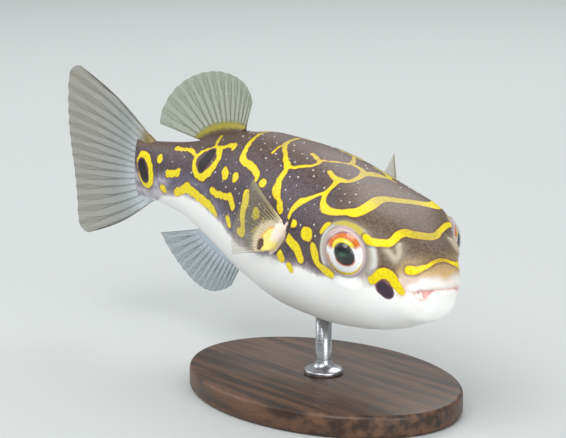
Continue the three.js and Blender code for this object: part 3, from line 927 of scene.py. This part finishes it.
# ------------------------------------------------------------------ teeth
# A puffer's teeth are fused into a beak of one plate in each jaw, ivory white, standing in
# pink gums just behind the lips.
tooth_half_width = 2.75             # mm, as are the heights below
tooth_columns = 109
tooth_rows = 22
tooth_thickness = 0.45 * mm
tooth_inset = 0.26 * mm
tooth_height = 0.86
tooth_lobes = (2.12, 2.50)
tooth_side = np.linspace(-tooth_half_width, tooth_half_width, tooth_columns)
across_plate = turns(tooth_rows)[:, None]

paint = Paint("tooth_plate")
cloudy = paint.noise(0.35)
ivory = paint.mix(cloudy, (238, 230, 214), (252, 249, 242))
tooth_material = paint.finish(
    Base_Color=paint.layers(ivory, ((240, 184, 176), paint.ramp(paint.field("gum"), 0.35, 0.65))),
    Roughness=0.2,
    Normal=paint.bump(cloudy, 0.02),
)

lip_edge = mouth_line(tooth_side)
lobes = sum(bell(np.abs(tooth_side), lobe, 0.17) for lobe in tooth_lobes)
plates = {
    # biting edge, root, height of the gum's edge and which way the plate points
    "teeth_upper": (lip_edge + 0.10, lip_edge + 1.0, lip_edge + 0.5, -1),
    "teeth_lower": (lip_edge - 1.02 + tooth_height * lobes, lip_edge - 1.7, lip_edge - 0.98, 1),
}
for name, (bite, root, gum_edge, way) in plates.items():
    # a flat oval section: front face, rounded biting edge, back face, root
    height = bite + (root - bite) * (0.5 - 0.5 * np.sin(across_plate))
    thick = np.sign(np.cos(across_plate)) * np.abs(np.cos(across_plate)) ** 0.6 * tooth_thickness / 2
    snout_curve = 0.10 * np.abs(tooth_side) ** 2.5 * mm
    back = snout_curve + tooth_inset + tooth_thickness / 2 - thick
    rings = (snout - back[..., None] * forward_axis + (tooth_side * mm)[None, :, None] * side_axis
             + (height * mm)[..., None] * up_axis).transpose(1, 0, 2)
    gum = smooth(way * (gum_edge - height), -0.06, 0.10).T
    plate_mesh = closed_mesh(name + "_plate", rings, {"gum": gum})
    plate = new_piece(name + "_plate", plate_mesh, tooth_material)
    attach(plate, "root")
    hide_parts(name)


# ------------------------------------------------------------------ fins
# Thin see-through skin stretched over soft rays. Each ray is a jointed strut that forks
# towards its tip; the rays grow out of a fleshy base, dark with a yellow edge on the back.
# Along a fin t runs from 0 at its front or top edge to 1, and r from 0 at the root to 1.
fins = {
    # root, length and bow are shares of the body's length, and angle is in degrees up from
    # straight back; wave holds a height in mm, the number of waves and where they start
    "caudal_fin": dict(
        station=1.0,
        root=lambda t: (-0.03 * (2 * t - 1) ** 2, lerp(0.075, -0.066, t)),
        angle=lambda t: lerp(30, -29.5, t),
        length=lambda t: (lerp(0.231, 0.219, t) - 0.036 * np.abs(2 * t - 1) ** 14
                          + 0.03 * (2 * t - 1) ** 2) / np.cos(np.radians(lerp(30, -29.5, t))),
        bow=0.011, rays=15, ray_start=0.0, wave=(0.45, 0.9, 0.35),
        fleshy=0.08, clear=0.42, ray_clear=0.6, speckled=0.35,
        web=((112, 124, 126), (134, 128, 112)), ray=(158, 156, 146), ray_root=(200, 202, 200),
    ),
    "dorsal_fin": dict(
        station=0.73,
        root=lambda t: (lerp(-0.037, 0.085, t), lerp(0.140, 0.096, t)),
        angle=lambda t: 103 - 98 * t ** 1.75,
        length=lambda t: 0.148 - 0.082 * (1 - t) ** 4 + 0.012 * (t ** 6 - t ** 20),
        bow=0, rays=14, ray_start=-0.2, wave=(0.35, 0.7, 0.1),
        fleshy=0.20, clear=0.40, ray_clear=0.6, speckled=0.35,
        web=((150, 158, 124), (146, 156, 130)), ray=(132, 132, 108), ray_root=(88, 64, 42),
    ),
    "anal_fin": dict(
        station=0.73,
        root=lambda t: (lerp(-0.033, 0.090, t), lerp(-0.148, -0.100, t)),
        angle=lambda t: -66 + 50 * t ** 1.9,
        length=lambda t: 0.149 - 0.088 * (1 - t) ** 2.6,
        bow=0, rays=13, ray_start=-0.2, wave=(0.35, 0.8, 0.5),
        fleshy=0.16, clear=0.38, ray_clear=0.5, speckled=0.30,
        web=((118, 136, 146), (130, 146, 152)), ray=(176, 190, 196), ray_root=(214, 216, 214),
    ),
}
for fin in fins.values():
    forward, _, up = body_axes(np.array(fin["station"]))
    fin["plane"] = (spine_point(fin["station"]), -forward, up)

pectoral_station = 0.370
pectoral_angle = 6
pectoral_spread = math.radians(14)
pectoral_lean = math.radians(3)
pectoral_lift = {"right": 0, "left": 30}
pectoral_clear = {"right": 0.13, "left": 0.20}
for side, sign in eye_sides.items():
    forward, left, up = body_axes(np.array(pectoral_station))
    outwards = left * sign
    rear = -forward * math.cos(pectoral_spread) + outwards * math.sin(pectoral_spread)
    over = up * math.cos(pectoral_lean) - outwards * math.sin(pectoral_lean)
    foot = skin_point(pectoral_station, pectoral_angle if sign < 0 else 180 - pectoral_angle)
    fins["pectoral_fin_" + side] = dict(
        plane=(foot, rear, over),
        root=lambda t: (lerp(-0.012, 0.019, t), lerp(0.021, -0.043, t)),
        angle=lambda t, lift=pectoral_lift[side]: lift + lerp(35, -18, t),
        length=lambda t: 0.117 - 0.016 * t ** 2,
        bow=0, rays=16, ray_start=-0.1, wave=(0.30, 0.8, 0.0),
        fleshy=0.22, clear=pectoral_clear[side], ray_clear=0.10, speckled=0.05,
        web=((176, 164, 116), (168, 158, 128)), ray=(180, 166, 122), ray_root=(240, 222, 190),
    )

fin_root_depth = 0.14
fin_root_half = 0.50 * mm
fin_web_half = 0.060 * mm
fin_rows = 44
fin_column_steps = 8
ray_step = 0.022
ray_radii = (0.095 * mm, 0.032 * mm)        # at the root and at the tip
ray_joints = 14
ray_sides = 6
joint_thinning = 0.18
first_fork = 0.42                           # shares of the ray's length
second_fork = 0.70


def fin_place(fin, t, r):
    """Points of the fin's middle sheet, and the sheet's side direction."""
    origin, rear_axis, over_axis = fin["plane"]
    root_rear, root_up = fin["root"](t)
    turn = np.radians(fin["angle"](t))
    along = fin["length"](t) * np.where(r < 0, fin_root_depth * r, r)
    side = fin["bow"] * (1 - 2 * t) * np.sin(math.pi * np.clip(r, 0, 1))
    rear = root_rear + np.cos(turn) * along - np.sin(turn) * side
    rise = root_up + np.sin(turn) * along + np.cos(turn) * side
    height, waves, start = fin["wave"]
    ripple = height * mm * np.sin(2 * math.pi * (waves * t + start + 0.15 * r))
    ripple = ripple * np.clip(r, 0, 1) ** 1.5
    across = unit(np.cross(rear_axis, over_axis))
    point = origin + body_length * (rear[..., None] * rear_axis + rise[..., None] * over_axis)
    return point + ripple[..., None] * across, across


def ray_branches(own, gap, fork, second, start):
    """The lines of one ray as (t, r, width): a stem, two branches, then two tips on each."""
    r = np.arange(start, fork + 0.02, ray_step)
    yield own + 0 * r, r, 1.0
    for way in (-1, 1):
        if not 0 <= own + 0.1 * way * gap <= 1:
            continue
        r = np.arange(fork - 0.02, second + 0.02, ray_step)
        yield own + 0.24 * way * gap * smooth(r, fork - 0.02, fork + 0.35), r, 0.8
        r = np.arange(second - 0.02, 0.996, ray_step)
        branch = own + 0.24 * way * gap * smooth(r, fork - 0.02, fork + 0.35)
        for tip in (-1, 1):
            yield branch + 0.11 * tip * gap * smooth(r, second - 0.02, 1.0), r, 0.62


class Growth(Wiring):
    """A new Geometry Nodes tree with named inputs."""

    def __init__(self, name, **inputs):
        super().__init__(bpy.data.node_groups.new(name, "GeometryNodeTree"))
        for label, kind in {"Geometry": "Geometry", **inputs}.items():
            self.tree.interface.new_socket(label, in_out="INPUT", socket_type="NodeSocket" + kind)
        self.tree.interface.new_socket("Geometry", in_out="OUTPUT", socket_type="NodeSocketGeometry")
        self.given = self.node("NodeGroupInput")

    def read(self, name, kind="FLOAT"):
        return self.node("GeometryNodeInputNamedAttribute", {"Name": name}, data_type=kind)["Attribute"]

    def end(self, geometry):
        """Ends the tree with real, smooth geometry in its material."""
        real = self.node("GeometryNodeRealizeInstances", {"Geometry": geometry})
        soft = self.node("GeometryNodeSetShadeSmooth", {"Geometry": real["Geometry"]})
        dressed = self.node("GeometryNodeSetMaterial", {
            "Geometry": soft["Geometry"], "Material": self.given["Material"]})
        self.node("NodeGroupOutput", {"Geometry": dressed["Geometry"]})

    def piece(self, name, source, **settings):
        """A piece with the plain mesh that the tree makes from a source mesh."""
        piece = new_piece(name, source)
        modifier = piece.modifiers.new("grow", "NODES")
        modifier.node_group = self.tree
        for item in self.tree.interface.items_tree:
            if item.in_out == "INPUT" and item.name in settings:
                modifier[item.identifier] = settings[item.name]
        piece.update_tag()
        evaluated = piece.evaluated_get(bpy.context.evaluated_depsgraph_get())
        mesh = bpy.data.meshes.new_from_object(evaluated)
        mesh.name = name
        piece.modifiers.clear()
        piece.data = mesh
        return piece


# lines with a thickness become closed, round, tapering struts
struts = Growth("fin_rays", Width="Float", Sides="Int", Material="Material")
lines = struts.node("GeometryNodeMeshToCurve", {"Mesh": struts.given["Geometry"]})
radius = struts.node(
    "ShaderNodeMath", {0: struts.read("thick"), 1: struts.given["Width"]}, operation="MULTIPLY")
ray_section = struts.node(
    "GeometryNodeCurvePrimitiveCircle", {"Radius": 1.0, "Resolution": struts.given["Sides"]})
strut = struts.node("GeometryNodeCurveToMesh", {
    "Curve": lines["Curve"],
    "Profile Curve": ray_section["Curve"],
    "Scale": radius[0],
    "Fill Caps": True,
})
struts.end(strut["Mesh"])

for name, fin in fins.items():
    rays = fin["rays"]
    fleshy = fin["fleshy"]

    # the web: two faces with a thick root, thinner between the rays, scalloped at the edge
    t, r = np.meshgrid(np.linspace(0, 1, rays * fin_column_steps + 1),
                       np.concatenate([[-1.0], np.linspace(0, 1, fin_rows) ** 0.9]), indexing="ij")
    between = np.sin(math.pi * rays * t) ** 2
    sheet, across = fin_place(fin, t, r * (1 - 0.008 * between * smooth(r, 0.8, 1.0)))
    half = lerp(fin_root_half, fin_web_half, smooth(r, 0, fleshy * 1.3))
    half = half * (1 - 0.35 * between * smooth(r, 0.1, 0.4)) * (1 - 0.5 * smooth(r, 0.9, 1.0))
    half = half * np.sqrt(np.clip(np.minimum(t, 1 - t) * 30, 0.05, 1))
    pucker = 0.015 * mm * np.sin(math.pi * rays * t) * smooth(r, 0.2, 0.7)
    left_face, right_face = [sheet + (pucker + way * half)[..., None] * across for way in (1, -1)]
    web_rings = np.concatenate([left_face, right_face[:, ::-1]], 1)
    web_mesh = closed_mesh(name + "_web", web_rings, {
        "along": np.concatenate([r, r[:, ::-1]], 1),
        "across": np.concatenate([t, t], 1),
        "between": np.concatenate([between, between], 1),
    })

    paint = Paint(name + "_web")
    ramp, mottle, plus, times, field = paint.ramp, paint.mottle, paint.plus, paint.times, paint.field
    down = field("across")
    speckle = paint.noise(0.12, 2, 0.6)
    cloud = paint.noise(1.6, 3)
    ragged = plus(field("along"), times(plus(paint.noise(0.5, 3), -0.5), 0.09))
    solid = ramp(ragged, fleshy * 1.7, fleshy * 0.8)
    web = paint.layers(
        mottle(plus(field("along"), times(cloud, 0.3)), *fin["web"], 0.2, 1.0),
        ((84, 82, 66), ramp(speckle, 0.45, 0.7), fin["speckled"]),
    )
    if name == "dorsal_fin":
        # a fuzzy yellow edge over a dark foot
        fuzzy = plus(ragged, times(plus(cloud, -0.5), 0.10))
        web = paint.layers(
            web,
            (paint.mix(speckle, (132, 118, 22), (188, 176, 44)),
             ramp(fuzzy, fleshy * 1.45, fleshy * 0.85)),
            (paint.mix(cloud, (96, 66, 40), (74, 56, 46)),
             ramp(ragged, fleshy * 0.90, fleshy * 0.45)),
        )
    elif name == "anal_fin":
        web = paint.layers(web, ((202, 214, 228), ramp(ragged, fleshy * 2.6, fleshy * 0.5)))
    elif name == "caudal_fin":
        web = paint.layers(
            web,
            ((184, 196, 206), ramp(ragged, 0.42, 0.0), ramp(down, 0.35, 0.65)),
            ((206, 214, 220), ramp(ragged, 0.30, 0.02), 0.8),
            ((128, 108, 62), ramp(ragged, 0.26, 0.02), ramp(down, 0.22, 0.06)),
        )
    else:
        # a cream lobe low down with a pale ring and a pink foot, and a dark spot beyond it
        off_lobe = plus(down, -0.68)
        lobe = plus(ragged, times(times(off_lobe, off_lobe), 1.1))
        off_spot = times(plus(down, -0.81), 1.2)
        far_off = plus(ragged, -0.26)
        spot = plus(times(off_spot, off_spot), times(times(far_off, far_off), 4.0))
        web = paint.layers(
            web,
            ((214, 196, 164), ramp(lobe, 0.66, 0.50)),
            ((240, 176, 70), ramp(lobe, 0.33, 0.29)),
            ((255, 236, 130), ramp(lobe, 0.29, 0.24)),
            ((255, 236, 220), ramp(ragged, 0.10, 0.02), ramp(down, 0.75, 0.45)),
            ((92, 54, 52), ramp(spot, 0.046, 0.020)),
        )
        front_edge = ramp(down, 0.10, 0.02, 0.0, 0.7)
        solid = paint.math("MAXIMUM", ramp(lobe, 0.56, 0.42), front_edge)
    clear = ramp(field("between"), 0.0, 0.5, fin["clear"] * 1.3, fin["clear"])
    web_material = paint.finish(
        Base_Color=web,
        Alpha=paint.math("MAXIMUM", clear, solid),
        Roughness=0.42,
        Normal=paint.bump(speckle, 0.02),
    )
    web_piece = new_piece(name + "_web", web_mesh, web_material)
    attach(web_piece, "root")
    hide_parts(name)

    # the rays run out from the root and fork twice, with a joint every half millimetre
    ray_points = []
    ray_edges = []
    ray_thick = []
    ray_along = []
    for k in range(rays + 1):
        own = float(np.clip(k / rays, 0.006, 0.994))
        fork = first_fork + 0.10 * math.sin(k * 2.4)
        second = second_fork + 0.06 * math.sin(k * 1.7 + 1)
        for t, r, width in ray_branches(own, 1 / rays, fork, second, fin["ray_start"]):
            line, _ = fin_place(fin, t, r)
            first = len(ray_points)
            joints = 1 - joint_thinning * (np.sin(r * 2 * math.pi * ray_joints) > 0.55)
            ray_points += line.tolist()
            ray_thick += (width * lerp(*ray_radii, np.clip(r, 0, 1)) * joints).tolist()
            ray_along += r.tolist()
            ray_edges += [(first + step, first + step + 1) for step in range(len(line) - 1)]
    line_mesh = bpy.data.meshes.new(name + "_lines")
    line_mesh.from_pydata(ray_points, ray_edges, [])
    line_mesh.attributes.new("thick", "FLOAT", "POINT").data.foreach_set("value", ray_thick)
    line_mesh.attributes.new("along", "FLOAT", "POINT").data.foreach_set("value", ray_along)

    paint = Paint(name + "_rays")
    along = paint.field("along")
    pale = colour(*fin["ray"])
    bands = paint.mix(paint.noise(0.4), (*(0.8 * part for part in pale), 1), (*pale, 1))
    at_root = paint.ramp(along, fleshy * 1.5, fleshy * 0.5)
    ray_material = paint.finish(
        Base_Color=paint.layers(bands, (fin["ray_root"], at_root)),
        Alpha=paint.ramp(along, 0.1, 0.75, 1.0, fin["ray_clear"]),
        Roughness=0.4,
    )
    ray_piece = struts.piece(
        name + "_rays", line_mesh, Width=1.0, Sides=ray_sides, Material=ray_material)
    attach(ray_piece, "root")


# ------------------------------------------------------------------ prickles
# Tiny blunt spines stand in the skin of the back and flanks and show as pale dots. Each
# carries a small patch of a map that opens the skin out flat.
prickle_spacing = 1.15 * mm
prickle_size = 0.12 * mm
prickle_density = 2.2e6             # on a square metre, before the spacing thins them
prickle_scale = (0.6, 1.25)
patch_size = 0.003

growth = Growth("skin_prickles", Spacing="Float", Size="Float", Patch="Float", Material="Material")
scatter = growth.node("GeometryNodeDistributePointsOnFaces", {
    "Mesh": growth.given["Geometry"],
    "Distance Min": growth.given["Spacing"],
    "Density Max": prickle_density,
    "Density Factor": growth.read("prickly"),
    "Seed": 7,
}, distribute_method="POISSON")
spine_shape = growth.node("GeometryNodeMeshUVSphere", {
    "Segments": 6, "Rings": 4, "Radius": growth.given["Size"]})
opened = growth.node("GeometryNodeStoreNamedAttribute", {
    "Geometry": spine_shape["Mesh"], "Name": "spine_map", "Value": spine_shape["UV Map"],
}, data_type="FLOAT2", domain="CORNER")
vary = growth.node("FunctionNodeRandomValue", {
    2: prickle_scale[0], 3: prickle_scale[1], "Seed": 11}, data_type="FLOAT")
spread = growth.node("GeometryNodeInstanceOnPoints", {
    "Points": scatter["Points"],
    "Instance": opened["Geometry"],
    "Rotation": scatter["Rotation"],
    "Scale": vary[1],
})
real = growth.node("GeometryNodeRealizeInstances", {"Geometry": spread["Instances"]})
place = growth.node("ShaderNodeCombineXYZ", {
    "X": growth.read("map_along"), "Y": growth.read("map_round")})
patch = growth.node("ShaderNodeVectorMath", {
    0: growth.read("spine_map", "FLOAT_VECTOR"), "Scale": growth.given["Patch"]}, operation="SCALE")
on_map = growth.node("ShaderNodeVectorMath", {0: patch["Vector"], 1: place["Vector"]}, operation="ADD")
mapped = growth.node("GeometryNodeStoreNamedAttribute", {
    "Geometry": real["Geometry"], "Name": "OFBake", "Value": on_map["Vector"],
}, data_type="FLOAT2", domain="CORNER")
growth.end(mapped["Geometry"])

paint = Paint("skin_prickle")
prickle_material = paint.finish(
    Base_Color=paint.mix(paint.noise(1.5, 1), (176, 168, 160), (214, 208, 196)), Roughness=0.3)

patchy = 0.5 + 0.5 * np.sin(skin_station * 60) * np.sin(np.radians(skin_angle) * 7)
prickly = (smooth(-belly / mm, 0.2, 1.2) * smooth(skin_station, 0.12, 0.24)
           * (1 - smooth(skin_station, 0.86, 0.95)) * (0.25 + 0.75 * patchy)
           * smooth(orbit, 1.5, 2.5) * smooth(-yellow / mm, -0.05, 0.15))
prickle_bed = closed_mesh("prickle_bed", skin, {
    "prickly": prickly,
    "map_along": 0.02 + 0.95 * skin_station / skin_end,
    "map_round": 0.02 + 0.95 * (skin_angle - skin_angle.min()) / 360,
})
prickles = growth.piece(
    "prickles", prickle_bed,
    Spacing=prickle_spacing, Size=prickle_size, Patch=patch_size, Material=prickle_material)
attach(prickles, "root")


# ------------------------------------------------------------------ stand
# A small oval base of dark, oiled wood with softly rounded edges, and a turned steel rod
# that screws into it and ends in the belly.
low, high = np.array(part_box("stand_base"))
base_middle = (low + high) / 2
base_half = (high - low) / 2
base_edge = 0.55 * mm
base_columns = 180
edge_turn = np.linspace(0, math.pi / 2, 8)
insets = base_edge * (1 - np.sin(edge_turn))
edge_heights = base_edge * (1 - np.cos(edge_turn)) - base_half[2]
inner = [base_half[1] / 2]
insets = np.concatenate([inner, insets, insets[::-1], inner])
heights = np.concatenate([-base_half[2:], edge_heights, -edge_heights[::-1], base_half[2:]])
turn = turns(base_columns)
base_rings = np.stack([
    base_middle[0] + (base_half[0] - insets)[:, None] * np.cos(turn),
    base_middle[1] + (base_half[1] - insets)[:, None] * np.sin(turn),
    base_middle[2] + heights[:, None] + 0 * turn,
], -1)
base_mesh = closed_mesh("display_base", base_rings)

paint = Paint("oiled_walnut")
fibre = paint.noise((16.7, 1.1, 1.1), 5)
pore = paint.noise((3.8, 0.19, 0.19))
wood = paint.mottle(fibre, (52, 34, 24), (104, 72, 50), 0.35, 0.68)
wood_material = paint.finish(
    Base_Color=paint.layers(wood, ((30, 20, 15), paint.ramp(pore, 0.6, 0.7), 0.6)),
    Roughness=paint.ramp(fibre, 0.3, 0.7, 0.34, 0.5),
    Normal=paint.bump(pore, 0.03),
)
base = new_piece("display_base", base_mesh, wood_material)
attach(base, "root")
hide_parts("stand_base")

low, high = np.array(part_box("stand_rod"))
rod_middle = (low + high) / 2
foot_radius = (high[0] - low[0]) / 2
foot_height = 1.5 * mm
rod_radius = 0.9 * mm
rod_into_belly = 0.9 * mm
rod_columns = 64
rod_foot = np.array([
    # radius as a share of the foot's, and height as a share of the foot's height
    (0.97, 0.00), (1.00, 0.05), (1.00, 0.30), (0.97, 0.36), (0.90, 0.40), (0.72, 0.46),
    (0.56, 0.58), (0.47, 0.76), (0.42, 1.00),
])
base_top = base_middle[2] + base_half[2]
radii = np.append(rod_foot[:, 0] * foot_radius, [rod_radius, rod_radius])
heights = base_top + foot_height * np.append(rod_foot[:, 1], 1.15)
heights = np.append(heights, high[2] + rod_into_belly)
rod_foot_middle = np.array((rod_middle[0], rod_middle[1], 0))
rod_rings = rings_about(rod_foot_middle, np.eye(3), radii, heights, rod_columns)
rod_mesh = closed_mesh("display_rod", rod_rings)

paint = Paint("satin_steel")
lathe_lines = paint.noise((3.3, 3.3, 0.083))
steel_material = paint.finish(
    Base_Color=paint.mix(lathe_lines, (176, 178, 182), (204, 206, 210)),
    Metallic=1.0,
    Roughness=paint.ramp(lathe_lines, 0.3, 0.7, 0.22, 0.38),
    Normal=paint.bump(lathe_lines, 0.004),
)
rod = new_piece("display_rod", rod_mesh, steel_material)
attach(rod, "root")
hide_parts("stand_rod")
